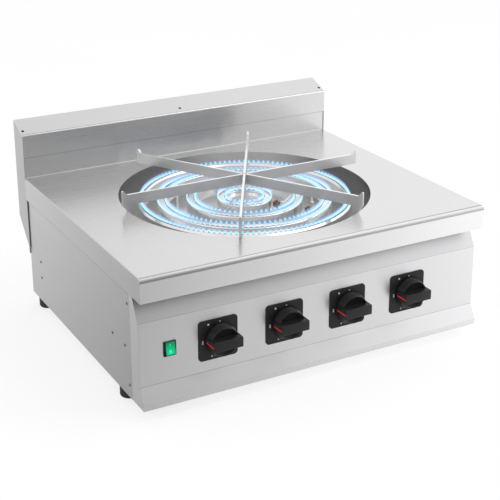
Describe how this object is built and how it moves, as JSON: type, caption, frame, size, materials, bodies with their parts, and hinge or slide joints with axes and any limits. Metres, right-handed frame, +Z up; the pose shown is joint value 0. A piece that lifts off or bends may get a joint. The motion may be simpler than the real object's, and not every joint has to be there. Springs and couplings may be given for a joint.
{
  "type": "gas boiling top",
  "caption": "Free-standing stainless gas boiling top: one large round burner of concentric rings, bar pot support, rear flue box and a front console of rotary taps with a lit switch.",
  "frame": {"origin": "on the floor plane under the feet, at the middle of the overall box", "axes": "+X to the right across the front, +Y from the console to the back, +Z up"},
  "size_m": [0.8, 0.7236, 0.429],
  "materials": {
    "brushed_steel_top": "fine straight brushing across the worktop, satin",
    "brushed_steel_body": "fine straight brushing, satin",
    "galvanised_sheet": "dull zinc-coated sheet",
    "dark_heated_steel": "steel darkened by heat, satin",
    "polished_steel": "polished, with soft reflections",
    "tube_steel": "drawn steel, satin",
    "support_steel": "flat bar, satin, with brighter cut edges",
    "brass": "turned brass",
    "black_knob_plastic": "matt moulded thermoset",
    "black_plate_plastic": "fine satin",
    "ceramic_white": "glazed ceramic",
    "green_lens": "clear green lens with a lamp behind it",
    "black_rubber": "moulded rubber",
    "dark_screw": "small button heads, darkened"
  },
  "bodies": {
    "hob_body": {"worktop": "brushed_steel_top", "flue_cover": "brushed_steel_body", "flue_box": "brushed_steel_body", "left_side_panel": "brushed_steel_body", "right_side_panel": "brushed_steel_body", "front_console": "brushed_steel_body", "rear_panel": "brushed_steel_body", "base_panel": "galvanised_sheet", "burner_well": "dark_heated_steel", "spill_tray": "polished_steel", "burner_frame": "galvanised_sheet", "burner_ring_1": "polished_steel", "burner_ring_2": "polished_steel", "burner_ring_3": "polished_steel", "burner_ring_4": "polished_steel", "ring_studs": "polished_steel", "mixing_tube_1": "tube_steel", "mixing_tube_2": "tube_steel", "mixing_tube_3": "tube_steel", "mixing_tube_4": "tube_steel", "tube_bracket": "galvanised_sheet", "injectors": "brass", "gas_manifold": "tube_steel", "gas_inlet": "brass", "valve_1": "brass", "valve_2": "brass", "valve_3": "brass", "valve_4": "brass", "knob_plates": "black_plate_plastic", "pilot_burners": "polished_steel", "thermocouples": "brass", "spark_electrode": "ceramic_white", "spark_generator": "black_knob_plastic", "switch_housing": "black_plate_plastic", "cable_gland": "black_knob_plastic", "feet": "black_rubber", "foot_bolts": "tube_steel", "foot_nuts": "tube_steel", "side_screws": "dark_screw", "rear_screws": "dark_screw"},
    "tap_plunger_1": {"push_rod_1": "tube_steel"},
    "tap_knob_1": {"knob_1": "black_knob_plastic", "valve_stem_1": "tube_steel"},
    "tap_plunger_2": {"push_rod_2": "tube_steel"},
    "tap_knob_2": {"knob_2": "black_knob_plastic", "valve_stem_2": "tube_steel"},
    "tap_plunger_3": {"push_rod_3": "tube_steel"},
    "tap_knob_3": {"knob_3": "black_knob_plastic", "valve_stem_3": "tube_steel"},
    "tap_plunger_4": {"push_rod_4": "tube_steel"},
    "tap_knob_4": {"knob_4": "black_knob_plastic", "valve_stem_4": "tube_steel"},
    "power_rocker": {"switch_rocker": "green_lens"},
    "pot_support": {"support_bar_1": "support_steel", "support_bar_2": "support_steel", "support_bar_3": "support_steel"}
  },
  "joints": [
    {"name": "tap_1_push", "type": "slide", "parent": "hob_body", "child": "tap_plunger_1", "axis": [0, 1, 0], "range_m": [0, 0.0035], "stiffness_N_per_m": 400, "springref_m": -0.004},
    {"name": "tap_1_turn", "type": "hinge", "parent": "tap_plunger_1", "child": "tap_knob_1", "pos_m": [-0.225, -0.32855, 0.1355], "axis": [0, -1, 0], "range_deg": [-90, 60]},
    {"name": "tap_2_push", "type": "slide", "parent": "hob_body", "child": "tap_plunger_2", "axis": [0, 1, 0], "range_m": [0, 0.0035], "stiffness_N_per_m": 400, "springref_m": -0.004},
    {"name": "tap_2_turn", "type": "hinge", "parent": "tap_plunger_2", "child": "tap_knob_2", "pos_m": [-0.075, -0.32855, 0.1355], "axis": [0, -1, 0], "range_deg": [-90, 60]},
    {"name": "tap_3_push", "type": "slide", "parent": "hob_body", "child": "tap_plunger_3", "axis": [0, 1, 0], "range_m": [0, 0.0035], "stiffness_N_per_m": 400, "springref_m": -0.004},
    {"name": "tap_3_turn", "type": "hinge", "parent": "tap_plunger_3", "child": "tap_knob_3", "pos_m": [0.075, -0.32855, 0.1355], "axis": [0, -1, 0], "range_deg": [-90, 60]},
    {"name": "tap_4_push", "type": "slide", "parent": "hob_body", "child": "tap_plunger_4", "axis": [0, 1, 0], "range_m": [0, 0.0035], "stiffness_N_per_m": 400, "springref_m": -0.004},
    {"name": "tap_4_turn", "type": "hinge", "parent": "tap_plunger_4", "child": "tap_knob_4", "pos_m": [0.225, -0.32855, 0.1355], "axis": [0, -1, 0], "range_deg": [-90, 60]},
    {"name": "power_switch_rock", "type": "hinge", "parent": "hob_body", "child": "power_rocker", "pos_m": [-0.333, -0.31725, 0.1385], "axis": [1, 0, 0], "range_deg": [0, 14]},
    {"name": "pot_support_lift", "type": "slide", "parent": "hob_body", "child": "pot_support", "axis": [0, 0, 1], "range_m": [0, 0.12]}
  ]
}
